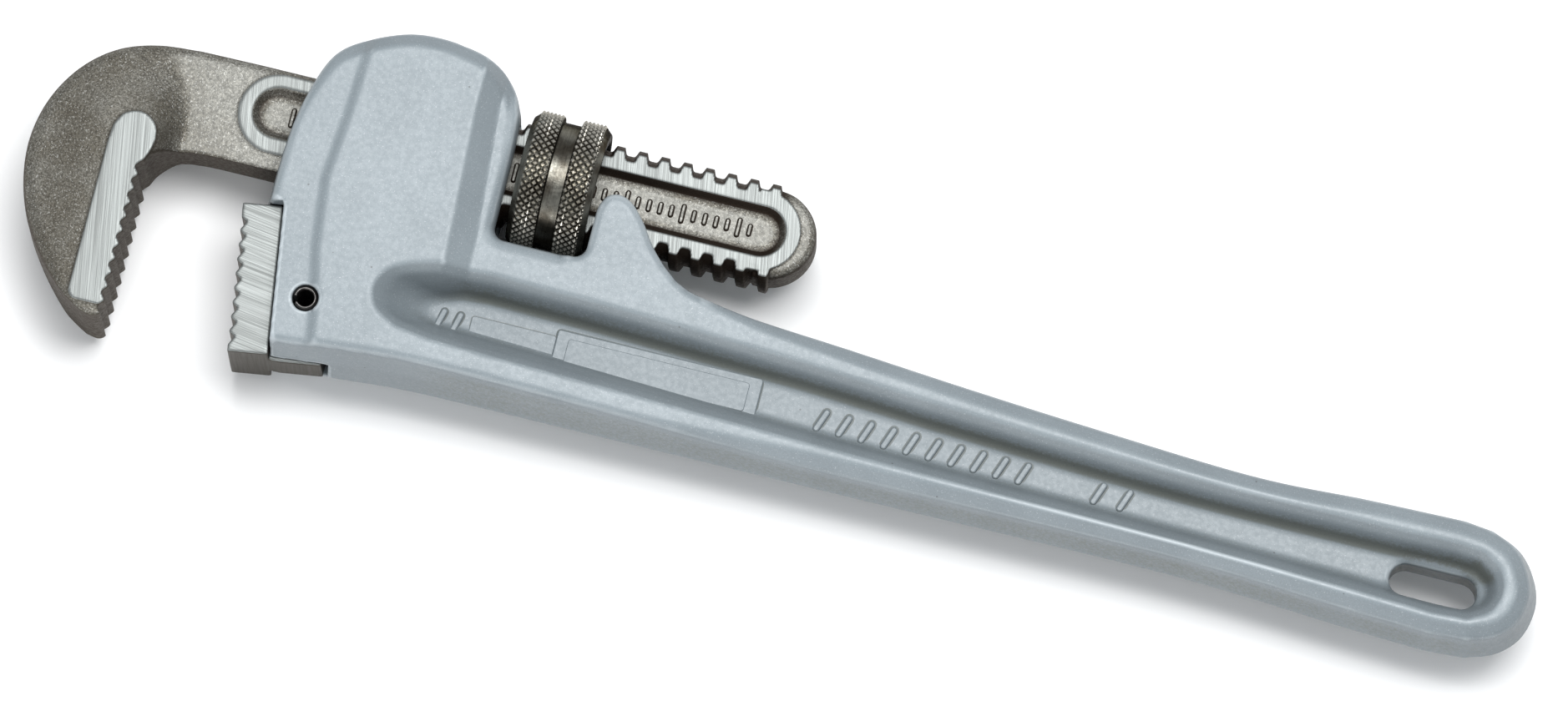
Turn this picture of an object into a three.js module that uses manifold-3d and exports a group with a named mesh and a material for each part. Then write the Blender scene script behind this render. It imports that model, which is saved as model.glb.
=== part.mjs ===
// Adjustable pipe wrench with a light-alloy handle, lying on its side.
//
// The wrench is drawn in its own frame: X runs along the hook jaw's shank towards the handle's end, Y points from
// the heel jaw's side to the shank's side, Z is the thickness, and the shank's axis is y = 0, z = 0. The whole group
// is then moved so that the origin is the centre of the footprint, on the surface that the wrench lies on.

import * as THREE from 'three';
import { mergeVertices } from 'three/addons/utils/BufferGeometryUtils.js';
import Module from 'manifold-3d';

const wasm = await Module();
wasm.setup();

// Driving dimensions, in millimetres and degrees.
const THREAD_PITCH = 5.08;
const THREAD_CREST_RADIUS = 12;
const THREAD_ROOT_RADIUS = 10.4;
const THREAD_CREST_PHASE = 1.16;
const THREAD_CREST_WIDTH = 1.7;
const THREAD_ROOT_WIDTH = 2.0;
const THREAD_CLEARANCE = 0.35;
const JAW_TOOTH_PITCH = 3.25;
const JAW_TOOTH_DEPTH = 1.5;
const GAP = 0.3;

const HEAD_HALF = 16.5;
const RIM_HALF = 13;
const GRIP_HALF = 12;
const WEB_HALF = 4.8;
const SHANK_HALF = 6.7;
const HOOK_BODY_HALF = 10.2;
const HOOK_JAW_HALF = 13.3;
const HEEL_JAW_HALF = 11.4;

const SHANK_TOP = 10.4;
const SHANK_BOTTOM = -13.4;
const THREAD_START = -48;
const THREAD_END = 50.3;
const SHANK_END = 58.8;
const HOOK_BODY_RIGHT = -84;
const TOOTH_LINE = -89.3;
const JAW_FIRST_TOOTH = 20.9;
const JAW_TOOTH_COUNT = 11;
const PANEL_LEFT = -69.4;
const PANEL_RIGHT = 51.8;
const PANEL_RADIUS = 5.7;
const PANEL_DEPTH = 2.1;

const CHANNEL_HALF = SHANK_HALF + 0.45;
const CHANNEL_TOP = 12.7;
const CHANNEL_FLOOR = -14;
const SPRING_SEAT_FLOOR = -19.2;
const SPRING_SEAT_END = -40;
const MOUTH = -61.4;

const WINDOW_LEFT = -10.5;
const WINDOW_RIGHT = 10.1;
const WINDOW_FLOOR = -16.7;
const WINDOW_CORNER = 2.6;

const NUT_LEFT = -8.5;
const NUT_RIGHT = 8.8;
const NUT_RADIUS = 15.9;
const NUT_CHAMFER = 0.9;
const NUT_GROOVE_LEFT = -1.9;
const NUT_GROOVE_RIGHT = 2.1;
const NUT_GROOVE_DEPTH = 0.75;

const HEEL_TOP_BACK = new THREE.Vector2(-56.9, -21.3);
const HEEL_TILT = 10;
const HEEL_WIDTH = 8.9;
const HEEL_HEIGHT = 33.7;
const HEEL_TOOTH_COUNT = 9;
const HEEL_FIRST_TOOTH = 4.3;
const HEEL_TOOTH_DEPTH = 1.3;
const TONGUE_HALF = 6;
const TONGUE_TOP = -31;
const TONGUE_BOTTOM = -54.6;
const TONGUE_END = -40.3;
const SLOT_END = -38.9;

const PIN_CENTRE = new THREE.Vector2(-46.6, -41);
const PIN_RADIUS = 2.7;
const PIN_BORE_RADIUS = 1.95;
const PIN_SLIT = 40;
const PIN_HALF_LENGTH = 15.8;

const SPRING_X = -51;
const LEAF_LEFT = -59.5;
const LEAF_RIGHT = -42;
const LEAF_TOP = -14.4;
const LEAF_THICKNESS = 0.6;
const LEAF_HALF_WIDTH = 4.2;
const RIVET_HEAD_TOP = -13.7;
const RIVET_STEM_RADIUS = 0.9;
const RIVET_BUTTON_RADIUS = 1.7;
const RIVET_BUTTON_BOTTOM = -16.3;
const COIL_WIRE_RADIUS = 0.45;
const COIL_MEAN_RADIUS = 2.5;
const COIL_TOP = -15.9;
const COIL_BOTTOM = -26.2;
const COIL_TURNS = 5;
const POCKET_RADIUS = 3.6;
const POCKET_BOTTOM = -27;

const HANG_SLOT_LEFT = 198.9;
const HANG_SLOT_RIGHT = 218.3;
const HANG_SLOT_Y = -41.2;
const HANG_SLOT_RADIUS = 3.7;

const FULL_TURN = 2 * Math.PI;
const SCREW_SIDES = 32;
const THROUGH = 40;

// How each forging or casting is rounded over: inset draws its outline in over the last rise of its thickness.
const HEAD_EDGE = { inset: 2.6, rise: 5 };
const GRIP_EDGE = { inset: 4.4, rise: 8 };
const HORN_EDGE = { inset: 1.4, rise: 2.4 };
const HOOK_BODY_EDGE = { inset: 3.2, rise: 4.6 };
const HOOK_JAW_EDGE = { inset: 2.4, rise: 3.4 };
const SHANK_END_EDGE = { inset: 1.6, rise: 2 };
const HEEL_JAW_EDGE = { inset: 0.3, rise: 0.3 };
const HOLLOW_LEAN = 4.2;
const HEAD_SLOPE = 3.5;
const PANEL_LEAN = 1.3;

// Materials.
const metal = (color, roughness, metalness) => new THREE.MeshStandardMaterial({ color, roughness, metalness });
const paintedAlloy = () => metal(0xbcc5cc, 0.45, 0.35);
const darkForging = () => metal(0x6b6259, 0.5, 0.8);
const groundSteel = () => metal(0xc9cbc8, 0.3, 1);
const springSteel = () => metal(0x54565a, 0.35, 1);

// Solids and boolean cuts.
function solidOf(geometry) {
  const bare = geometry.clone();
  bare.deleteAttribute('normal');
  bare.deleteAttribute('uv');
  const merged = mergeVertices(bare, 1e-4);
  return new wasm.Manifold(new wasm.Mesh({
    numProp: 3,
    vertProperties: Float32Array.from(merged.attributes.position.array),
    triVerts: Uint32Array.from(merged.index.array),
  }));
}

function geometryOf(solid) {
  const mesh = solid.getMesh();
  const geometry = new THREE.BufferGeometry();
  geometry.setAttribute('position', new THREE.BufferAttribute(Float32Array.from(mesh.vertProperties), 3));
  geometry.setIndex(new THREE.BufferAttribute(Uint32Array.from(mesh.triVerts), 1));
  geometry.computeVertexNormals();
  return geometry;
}

function addAll(first, ...others) {
  return others.reduce((sum, other) => sum.add(other), first);
}

function cutAll(first, ...others) {
  return others.reduce((rest, other) => rest.subtract(other), first);
}

// A shape extruded evenly to both sides of z = 0.
function slab(shape, half, curveSegments = 3) {
  const geometry = new THREE.ExtrudeGeometry(shape, { depth: 2 * half, bevelEnabled: false, curveSegments });
  geometry.translate(0, 0, -half);
  return solidOf(geometry);
}

// The same with rounded edges: the outline is full at mid-thickness, and draws in by inset over the last rise.
function cushion(shape, half, { inset, rise }, steps = 2, curveSegments = 3) {
  const geometry = new THREE.ExtrudeGeometry(shape, {
    depth: 2 * (half - rise),
    bevelEnabled: true,
    bevelThickness: rise,
    bevelSize: inset,
    bevelOffset: -inset,
    bevelSegments: steps,
    curveSegments,
  });
  geometry.translate(0, 0, rise - half);
  return solidOf(geometry);
}

// A cutter for a hollow whose floor is at floorZ on the +Z side and whose walls lean out to the given outline at
// rimZ; the -Z side gets its mirror image.
function hollow(shape, floorZ, rimZ, lean, curveSegments = 3) {
  const geometry = new THREE.ExtrudeGeometry(shape, {
    depth: THROUGH,
    bevelEnabled: true,
    bevelThickness: rimZ - floorZ,
    bevelSize: lean,
    bevelOffset: -lean,
    bevelSegments: 1,
    curveSegments,
  });
  geometry.translate(0, 0, rimZ);
  const front = solidOf(geometry);
  return front.add(front.mirror([0, 0, 1]));
}

function polygon(...corners) {
  return new THREE.Shape(corners.map(([x, y]) => new THREE.Vector2(x, y)));
}

function boxBetween(x0, x1, y0, y1, half) {
  return slab(polygon([x0, y0], [x1, y0], [x1, y1], [x0, y1]), half);
}

function spline(shape, ...points) {
  return shape.splineThru(points.map(([x, y]) => new THREE.Vector2(x, y)));
}

function stadium(left, right, middle, radius) {
  const shape = new THREE.Shape();
  shape.absarc(right - radius, middle, radius, -Math.PI / 2, Math.PI / 2);
  shape.absarc(left + radius, middle, radius, Math.PI / 2, 1.5 * Math.PI);
  return shape;
}

// A cylinder along Z, or along Y for the spring parts.
function cylinderZ(x, y, radius, half, sides = 32) {
  const geometry = new THREE.CylinderGeometry(radius, radius, 2 * half, sides);
  geometry.rotateX(Math.PI / 2);
  geometry.translate(x, y, 0);
  return solidOf(geometry);
}

function cylinderY(x, y0, y1, radius, sides = 24) {
  const geometry = new THREE.CylinderGeometry(radius, radius, y1 - y0, sides);
  geometry.translate(x, (y0 + y1) / 2, 0);
  return solidOf(geometry);
}

// A screw: a single right-hand thread about the X axis. Crests cross the +Y side at phase plus whole pitches. Each
// row of vertices lies at one turn angle and steps along the thread's profile, and the last row joins the first one
// a whole pitch further on.
function screw(x0, x1, crestRadius, rootRadius, crestWidth, rootWidth, phase, sides) {
  const flank = (THREAD_PITCH - crestWidth - rootWidth) / 2;
  const profile = [
    [-crestWidth / 2, crestRadius],
    [crestWidth / 2, crestRadius],
    [crestWidth / 2 + flank, rootRadius],
    [crestWidth / 2 + flank + rootWidth, rootRadius],
  ];
  const firstPitch = Math.floor((x0 - phase) / THREAD_PITCH) - 2;
  const lastPitch = Math.ceil((x1 - phase) / THREAD_PITCH) + 2;
  const rings = (lastPitch - firstPitch) * profile.length;
  const perRow = rings + profile.length + 1;
  const positions = [];
  for (let side = 0; side < sides; side += 1) {
    const turn = side / sides;
    const angle = turn * FULL_TURN;
    for (let ring = 0; ring < perRow; ring += 1) {
      const [offset, radius] = profile[ring % profile.length];
      const pitch = firstPitch + Math.floor(ring / profile.length) + turn;
      const x = phase + pitch * THREAD_PITCH + offset;
      positions.push(x, radius * Math.cos(angle), radius * Math.sin(angle));
    }
  }
  const startTip = positions.length / 3;
  positions.push(phase + (firstPitch - 1) * THREAD_PITCH, 0, 0);
  const endTip = startTip + 1;
  positions.push(phase + (lastPitch + 2) * THREAD_PITCH, 0, 0);
  const at = (side, ring) => (side === sides ? ring + profile.length : side * perRow + ring);
  const triangles = [];
  for (let side = 0; side < sides; side += 1) {
    for (let ring = 0; ring < rings; ring += 1) {
      const a = at(side, ring);
      const b = at(side, ring + 1);
      const c = at(side + 1, ring + 1);
      const d = at(side + 1, ring);
      triangles.push(a, c, b, a, d, c);
    }
    triangles.push(startTip, at(side + 1, 0), at(side, 0));
    triangles.push(endTip, at(side, rings), at(side + 1, rings));
  }
  for (let ring = 0; ring < profile.length; ring += 1) {
    triangles.push(startTip, ring, ring + 1);
    triangles.push(endTip, rings + ring + 1, rings + ring);
  }
  const geometry = new THREE.BufferGeometry();
  geometry.setAttribute('position', new THREE.Float32BufferAttribute(positions, 3));
  geometry.setIndex(triangles);
  let solid = new wasm.Manifold(new wasm.Mesh({
    numProp: 3,
    vertProperties: Float32Array.from(geometry.attributes.position.array),
    triVerts: Uint32Array.from(geometry.index.array),
  }));
  if (solid.volume() < 0) {
    throw new Error('the screw is inside out');
  }
  solid = solid.intersect(boxBetween(x0, x1, -THROUGH, THROUGH, THROUGH));
  return solid;
}

// Places of the slanted heel jaw: along runs from its top corner down its back face, across runs towards the hook.
const heelTilt = THREE.MathUtils.degToRad(HEEL_TILT);
function heelPoint(across, along) {
  return [
    HEEL_TOP_BACK.x - across * Math.cos(heelTilt) + along * Math.sin(heelTilt),
    HEEL_TOP_BACK.y - across * Math.sin(heelTilt) - along * Math.cos(heelTilt),
  ];
}

// A row of V-shaped tooth gaps, as one comb-shaped outline. place turns (depth, distance along) into (x, y).
function toothGaps(place, first, count, depth) {
  const clear = 3;
  const pitch = JAW_TOOTH_PITCH;
  const corners = [place(-clear, first - pitch)];
  for (let tooth = 0; tooth < count; tooth += 1) {
    const start = first + (tooth - 0.45) * pitch;
    corners.push(place(0, start));
    corners.push(place(depth, start + 0.42 * pitch));
    corners.push(place(0, start + 0.84 * pitch));
  }
  corners.push(place(-clear, first + count * pitch));
  const shape = polygon(...corners);
  return slab(shape, THROUGH);
}

// The one-piece handle and housing.
function headOutline() {
  const shape = new THREE.Shape();
  shape.moveTo(-49.5, -55.9);
  shape.lineTo(-60.2, -26);
  shape.lineTo(MOUTH, -18);
  spline(shape, [-61.4, -8], [-60.1, 2], [-57.4, 11.5], [-53, 19]);
  spline(shape, [-43.5, 24.2], [-33.5, 26.2], [-22.5, 24.0], [-14.6, 18.6], [-11.4, 11.5], [WINDOW_LEFT, 2]);
  shape.lineTo(WINDOW_LEFT, -40);
  shape.lineTo(-12, -53.3);
  shape.lineTo(-21, -53.5);
  spline(shape, [-28, -54], [-35, -54.7]);
  return shape;
}

function gripOutline() {
  const shape = new THREE.Shape();
  shape.moveTo(-40, -20);
  shape.lineTo(-40, -53.2);
  shape.lineTo(-21, -53.1);
  spline(shape, [20, -52.9], [90, -52.5], [140, -52.3], [175, -53.2], [205, -55], [216, -54.9]);
  spline(shape, [223.6, -53], [229.4, -47.5], [231.3, -40], [229.6, -32], [224.4, -26.5], [216, -24.7]);
  spline(shape, [200, -24.7], [170, -26], [130, -24.4], [70, -20.6], [50, -19]);
  shape.lineTo(38, -17.3);
  shape.lineTo(-20, -16);
  return shape;
}

function hornOutline() {
  const shape = new THREE.Shape();
  shape.moveTo(WINDOW_RIGHT, -24);
  shape.lineTo(WINDOW_RIGHT, -5.4);
  shape.absarc(WINDOW_RIGHT + 3.8, -5.4, 3.8, Math.PI, 0.33 * Math.PI, true);
  spline(shape, [18.6, -4.2], [23, -9.2], [27.4, -13.8], [32, -16.6]);
  shape.lineTo(42, -20);
  shape.lineTo(42, -24);
  return shape;
}

function windowOutline() {
  const shape = new THREE.Shape();
  shape.moveTo(WINDOW_LEFT, THROUGH);
  shape.lineTo(WINDOW_LEFT, WINDOW_FLOOR + WINDOW_CORNER);
  shape.absarc(WINDOW_LEFT + WINDOW_CORNER, WINDOW_FLOOR + WINDOW_CORNER, WINDOW_CORNER, Math.PI, 1.5 * Math.PI);
  shape.absarc(WINDOW_RIGHT - WINDOW_CORNER, WINDOW_FLOOR + WINDOW_CORNER, WINDOW_CORNER, 1.5 * Math.PI, FULL_TURN);
  shape.lineTo(WINDOW_RIGHT, THROUGH);
  return shape;
}

// The long hollow in each side of the grip, which leaves the web between two flanges.
function gripHollowOutline() {
  const shape = new THREE.Shape();
  shape.absarc(-25.2, -35.8, 7.2, Math.PI / 2, 1.5 * Math.PI);
  spline(shape, [60, -44.2], [140, -45.5], [190, -47.2], [216.8, -47.6]);
  shape.absarc(216.8, -40.1, 7.5, -Math.PI / 2, Math.PI / 2);
  spline(shape, [190, -32.8], [150, -32.4], [100, -30.6], [50, -28.4], [-6, -26.8], [-25.2, -28.6]);
  return shape;
}

function channelOutline() {
  return polygon(
    [MOUTH - 8, SPRING_SEAT_FLOOR],
    [SPRING_SEAT_END, SPRING_SEAT_FLOOR],
    [SPRING_SEAT_END, -17.1],
    [WINDOW_LEFT, CHANNEL_FLOOR],
    [THROUGH, CHANNEL_FLOOR],
    [THROUGH, CHANNEL_TOP],
    [MOUTH - 8, CHANNEL_TOP],
  );
}

// The step in the housing's front that the heel jaw sits in, a little larger than the jaw.
function heelSeatOutline() {
  return polygon(
    heelPoint(-GAP, -GAP),
    heelPoint(-GAP, THROUGH),
    heelPoint(THROUGH, THROUGH),
    heelPoint(THROUGH, -GAP),
  );
}

function makeHousing() {
  const head = cushion(headOutline(), HEAD_HALF, HEAD_EDGE);
  const grip = cushion(gripOutline(), GRIP_HALF, GRIP_EDGE);
  const rimPlate = boxBetween(WINDOW_LEFT - 4, WINDOW_RIGHT + 8, -24, WINDOW_FLOOR + 1, RIM_HALF - 0.4);
  const horn = cushion(hornOutline(), GRIP_HALF, HORN_EDGE);
  const headEnd = polygon(
    [-14, 40], [-14, -20], [-20, -26], [-26, -29], [-32, -35], [-29, -41],
    [-20, -44], [-8, -60], [20, -60], [20, 40],
  );
  const thinned = hollow(headEnd, RIM_HALF, HEAD_HALF, HEAD_SLOPE);
  const blank = addAll(cutAll(head, thinned), grip, rimPlate, horn);
  return cutAll(
    blank,
    slab(windowOutline(), THROUGH),
    slab(channelOutline(), CHANNEL_HALF),
    hollow(gripHollowOutline(), WEB_HALF, GRIP_HALF, HOLLOW_LEAN),
    slab(stadium(HANG_SLOT_LEFT, HANG_SLOT_RIGHT, HANG_SLOT_Y, HANG_SLOT_RADIUS), THROUGH),
    slab(heelSeatOutline(), THROUGH),
    boxBetween(MOUTH, SLOT_END, -THROUGH * 2, TONGUE_TOP + GAP, TONGUE_HALF + GAP),
    cylinderZ(PIN_CENTRE.x, PIN_CENTRE.y, PIN_RADIUS + GAP, THROUGH),
    cylinderY(SPRING_X, POCKET_BOTTOM, SPRING_SEAT_FLOOR + 2, POCKET_RADIUS),
  );
}

// The renewable toothed block on the handle's side, with the tongue that the roll pin holds.
function makeHeelJaw() {
  const block = cushion(
    polygon(
      heelPoint(0, 0),
      heelPoint(HEEL_WIDTH, 0),
      heelPoint(HEEL_WIDTH, HEEL_HEIGHT),
      heelPoint(0, HEEL_HEIGHT),
    ),
    HEEL_JAW_HALF,
    HEEL_JAW_EDGE,
    1,
  );
  const tongue = slab(
    polygon(
      heelPoint(2, -TONGUE_TOP + HEEL_TOP_BACK.y),
      heelPoint(2, HEEL_HEIGHT - 1),
      [TONGUE_END, TONGUE_BOTTOM],
      [TONGUE_END, TONGUE_TOP],
    ),
    TONGUE_HALF,
  );
  const place = (depth, along) => heelPoint(HEEL_WIDTH - depth, along);
  return cutAll(
    block.add(tongue),
    toothGaps(place, HEEL_FIRST_TOOTH, HEEL_TOOTH_COUNT, HEEL_TOOTH_DEPTH),
    cylinderZ(PIN_CENTRE.x, PIN_CENTRE.y, PIN_RADIUS + GAP, THROUGH),
  );
}

// The rolled, slit tube that pins the heel jaw's tongue in the housing.
function makeRollPin() {
  const slit = THREE.MathUtils.degToRad(PIN_SLIT / 2);
  const shape = new THREE.Shape();
  shape.absarc(PIN_CENTRE.x, PIN_CENTRE.y, PIN_RADIUS, slit, FULL_TURN - slit);
  shape.absarc(PIN_CENTRE.x, PIN_CENTRE.y, PIN_BORE_RADIUS, FULL_TURN - slit, slit, true);
  return slab(shape, PIN_HALF_LENGTH, 12);
}

// The forged hook jaw: hook, toothed face, and a flat-sided shank with thread on its two edges.
function hookOutline() {
  const shape = new THREE.Shape();
  shape.moveTo(THREAD_START, SHANK_BOTTOM);
  shape.lineTo(THREAD_START, SHANK_TOP);
  shape.lineTo(-84, SHANK_TOP - 0.3);
  spline(shape, [-94, 8.8], [-102, 5.2], [-109.3, -1.6], [-114, -10], [-115.7, -19], [-114.6, -28]);
  spline(shape, [-111, -38], [-105.6, -46.6], [-99.6, -53.2], [-96, -55.6], [-92.4, -56.4]);
  shape.lineTo(TOOTH_LINE, -55.4);
  shape.lineTo(TOOTH_LINE, -19.8);
  spline(shape, [-87.4, -16.6], [-84.4, -14.7], [-80, -13.8], [-73, SHANK_BOTTOM]);
  return shape;
}

function jawFaceOutline() {
  const shape = new THREE.Shape();
  shape.moveTo(TOOTH_LINE, -54.6);
  shape.lineTo(TOOTH_LINE, -19);
  spline(shape, [-88.2, -16], [-88.6, -11], [-91.5, -8.6]);
  spline(shape, [-96, -8], [-103, -12], [-106.4, -20], [-105.6, -31], [-101, -42.6], [-97, -50], [-94, -54]);
  return shape;
}

function shankEndOutline() {
  const shape = new THREE.Shape();
  shape.moveTo(THREAD_END - 4, -THREAD_ROOT_RADIUS);
  shape.lineTo(THREAD_END + 1, -THREAD_ROOT_RADIUS);
  spline(shape, [56.4, -6.8], [SHANK_END, 0], [56.4, 6.8], [THREAD_END + 1, THREAD_ROOT_RADIUS]);
  shape.lineTo(THREAD_END - 4, THREAD_ROOT_RADIUS);
  return shape;
}

function makeHookJaw() {
  const thread = screw(
    THREAD_START - 1, THREAD_END, THREAD_CREST_RADIUS, THREAD_ROOT_RADIUS,
    THREAD_CREST_WIDTH, THREAD_ROOT_WIDTH, THREAD_CREST_PHASE, SCREW_SIDES,
  );
  const sides = boxBetween(-THROUGH * 4, THROUGH * 4, -THROUGH * 2, THROUGH, SHANK_HALF);
  const shank = thread.intersect(sides);
  const hookEnd = boxBetween(-THROUGH * 4, HOOK_BODY_RIGHT, -THROUGH * 2, THROUGH, THROUGH);
  const body = cushion(hookOutline(), HOOK_BODY_HALF, HOOK_BODY_EDGE);
  const neck = slab(hookOutline(), SHANK_HALF).subtract(hookEnd);
  const face = cushion(jawFaceOutline(), HOOK_JAW_HALF, HOOK_JAW_EDGE);
  const gapPlace = (depth, along) => [TOOTH_LINE - depth, -along];
  const panel = stadium(PANEL_LEFT, PANEL_RIGHT, 0, PANEL_RADIUS);
  const blank = addAll(
    shank,
    neck,
    body.intersect(hookEnd),
    face,
    cushion(shankEndOutline(), SHANK_HALF, SHANK_END_EDGE),
  );
  return cutAll(
    blank,
    toothGaps(gapPlace, JAW_FIRST_TOOTH, JAW_TOOTH_COUNT, JAW_TOOTH_DEPTH),
    hollow(panel, SHANK_HALF - PANEL_DEPTH, SHANK_HALF, PANEL_LEAN, 5),
  );
}

// The knurled nut that moves the hook jaw, with a clearance thread through it.
function makeNut() {
  const groove = NUT_RADIUS - NUT_GROOVE_DEPTH;
  const profile = [
    [0, NUT_LEFT],
    [NUT_RADIUS - NUT_CHAMFER, NUT_LEFT],
    [NUT_RADIUS, NUT_LEFT + NUT_CHAMFER],
    [NUT_RADIUS, NUT_GROOVE_LEFT - 0.3],
    [groove, NUT_GROOVE_LEFT],
    [groove, NUT_GROOVE_RIGHT],
    [NUT_RADIUS, NUT_GROOVE_RIGHT + 0.3],
    [NUT_RADIUS, NUT_RIGHT - NUT_CHAMFER],
    [NUT_RADIUS - NUT_CHAMFER, NUT_RIGHT],
    [0, NUT_RIGHT],
  ].map(([radius, x]) => new THREE.Vector2(radius, x));
  const geometry = new THREE.LatheGeometry(profile, 48);
  geometry.rotateZ(-Math.PI / 2);
  const bore = screw(
    NUT_LEFT - 1, NUT_RIGHT + 1, THREAD_CREST_RADIUS + THREAD_CLEARANCE, THREAD_ROOT_RADIUS + THREAD_CLEARANCE,
    THREAD_CREST_WIDTH + THREAD_CLEARANCE, THREAD_ROOT_WIDTH - THREAD_CLEARANCE, THREAD_CREST_PHASE,
    SCREW_SIDES,
  );
  return solidOf(geometry).subtract(bore);
}

// The leaf spring that the shank's lower edge slides on, bowed a little at its ends.
function makeLeafSpring() {
  const bow = 0.35;
  const middle = (LEAF_LEFT + LEAF_RIGHT) / 2;
  const bottom = LEAF_TOP - LEAF_THICKNESS;
  const shape = new THREE.Shape();
  shape.moveTo(LEAF_LEFT, bottom + bow);
  shape.quadraticCurveTo(middle, bottom - bow, LEAF_RIGHT, bottom + bow);
  shape.lineTo(LEAF_RIGHT, LEAF_TOP + bow);
  shape.quadraticCurveTo(middle, LEAF_TOP - bow, LEAF_LEFT, LEAF_TOP + bow);
  const hole = cylinderY(SPRING_X, -THROUGH, THROUGH, RIVET_STEM_RADIUS + GAP);
  return slab(shape, LEAF_HALF_WIDTH, 4).subtract(hole);
}

// The rivet that centres the coil spring under the leaf spring.
function makeRivet() {
  const headBottom = RIVET_HEAD_TOP - 0.4;
  const buttonTop = LEAF_TOP - LEAF_THICKNESS - GAP;
  const profile = [
    [0, RIVET_BUTTON_BOTTOM],
    [RIVET_BUTTON_RADIUS - 0.3, RIVET_BUTTON_BOTTOM],
    [RIVET_BUTTON_RADIUS, RIVET_BUTTON_BOTTOM + 0.3],
    [RIVET_BUTTON_RADIUS, buttonTop],
    [RIVET_STEM_RADIUS, buttonTop],
    [RIVET_STEM_RADIUS, headBottom],
    [RIVET_BUTTON_RADIUS, headBottom],
    [RIVET_BUTTON_RADIUS, RIVET_HEAD_TOP],
    [0, RIVET_HEAD_TOP],
  ].map(([radius, y]) => new THREE.Vector2(radius, y));
  const geometry = new THREE.LatheGeometry(profile, 14);
  geometry.translate(SPRING_X, 0, 0);
  return solidOf(geometry);
}

// The compression spring in the housing's pocket.
class CoilPath extends THREE.Curve {
  getPoint(t, target = new THREE.Vector3()) {
    const angle = t * COIL_TURNS * FULL_TURN;
    const y = COIL_BOTTOM + t * (COIL_TOP - COIL_BOTTOM);
    return target.set(SPRING_X + COIL_MEAN_RADIUS * Math.cos(angle), y, COIL_MEAN_RADIUS * Math.sin(angle));
  }
}

function makeCoilSpring() {
  const wire = new THREE.Shape();
  wire.absarc(0, 0, COIL_WIRE_RADIUS, 0, FULL_TURN);
  const geometry = new THREE.ExtrudeGeometry(wire, {
    steps: COIL_TURNS * 10,
    curveSegments: 3,
    extrudePath: new CoilPath(),
  });
  return solidOf(geometry);
}

// The assembly.
const wrench = new THREE.Group();

function place(name, solid, material) {
  const mesh = new THREE.Mesh(geometryOf(solid), material);
  mesh.name = name;
  wrench.add(mesh);
}

place('handle_housing', makeHousing(), paintedAlloy());
place('heel_jaw', makeHeelJaw(), groundSteel());
place('heel_jaw_pin', makeRollPin(), springSteel());
place('hook_jaw', makeHookJaw(), darkForging());
place('adjusting_nut', makeNut(), darkForging());
place('flat_spring', makeLeafSpring(), springSteel());
place('coil_spring', makeCoilSpring(), springSteel());
place('spring_rivet', makeRivet(), springSteel());

const bounds = new THREE.Box3().setFromObject(wrench);
const centre = bounds.getCenter(new THREE.Vector3());
wrench.position.set(-centre.x, -centre.y, -bounds.min.z);

const part = new THREE.Group();
part.add(wrench);

export default part;
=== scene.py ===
"""Looks for the pipe wrench: castings and forgings as smooth solids, a knurled nut, and their surfaces.

Shapes are worked out in the wrench's own frame, in millimetres: X runs along the shank towards the
handle's end, Y from the heel jaw's side to the shank's side, Z is the thickness, and the shank's axis is
y = 0, z = 0. The big pieces are fields (negative inside) sampled on a lattice and turned into a surface;
the rest are swept or turned.
"""

import math

import bmesh
import bpy
import numpy as np
from mathutils import Matrix, Vector


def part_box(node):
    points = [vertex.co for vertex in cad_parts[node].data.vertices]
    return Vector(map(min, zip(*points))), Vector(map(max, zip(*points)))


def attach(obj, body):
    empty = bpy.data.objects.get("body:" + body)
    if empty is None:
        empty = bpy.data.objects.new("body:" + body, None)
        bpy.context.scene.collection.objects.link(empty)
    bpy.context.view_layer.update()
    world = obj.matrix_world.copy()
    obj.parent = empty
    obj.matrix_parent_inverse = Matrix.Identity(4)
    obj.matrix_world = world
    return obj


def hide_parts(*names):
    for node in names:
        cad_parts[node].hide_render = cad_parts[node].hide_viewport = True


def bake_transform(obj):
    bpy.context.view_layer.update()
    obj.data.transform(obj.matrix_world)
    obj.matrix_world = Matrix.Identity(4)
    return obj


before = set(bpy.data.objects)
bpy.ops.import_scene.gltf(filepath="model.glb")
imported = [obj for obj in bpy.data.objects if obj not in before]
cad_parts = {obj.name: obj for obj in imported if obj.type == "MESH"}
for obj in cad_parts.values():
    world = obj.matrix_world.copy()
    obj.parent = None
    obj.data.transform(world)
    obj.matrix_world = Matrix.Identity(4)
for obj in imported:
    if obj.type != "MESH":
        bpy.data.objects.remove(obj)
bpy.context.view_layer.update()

MM = 0.001

# Driving sizes, in millimetres, in the wrench's own frame. A half is half a thickness, from mid-thickness,
# and lefts, rights, tops, lines, starts and ends are places.
THREAD_PITCH = 5.08
THREAD_PHASE = 1.16
CREST_RADIUS = 12.0
ROOT_RADIUS = 10.4
CREST_WIDTH = 1.9
ROOT_WIDTH = 1.9
THREAD_CLEARANCE = 0.35
TOOTH_PITCH = 3.25
TOOTH_DEPTH = 1.5
GAP = 0.3

HEAD_HALF = 16.5
RIM_HALF = 13.0
GRIP_HALF = 12.0
WEB_HALF = 4.8
SLOT_ENDS = (202.5, 214.7)
SLOT_LINE = -41.4
SLOT_RADIUS = 3.65
CHANNEL_TOP = 12.7
CHANNEL_PLAY = 0.45

SHANK_HALF = 6.7
FORGED_HALF = SHANK_HALF - 0.35
RELIEF_HALF = 12.7
BOSS_HALF = 13.3
PANEL_FLOOR = 4.6
PANEL_RADIUS = 5.7
FACE_RADIUS = 9.2
TOOTH_LINE = -89.3
THREAD_START = -48.0
THREAD_END = 50.3

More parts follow.
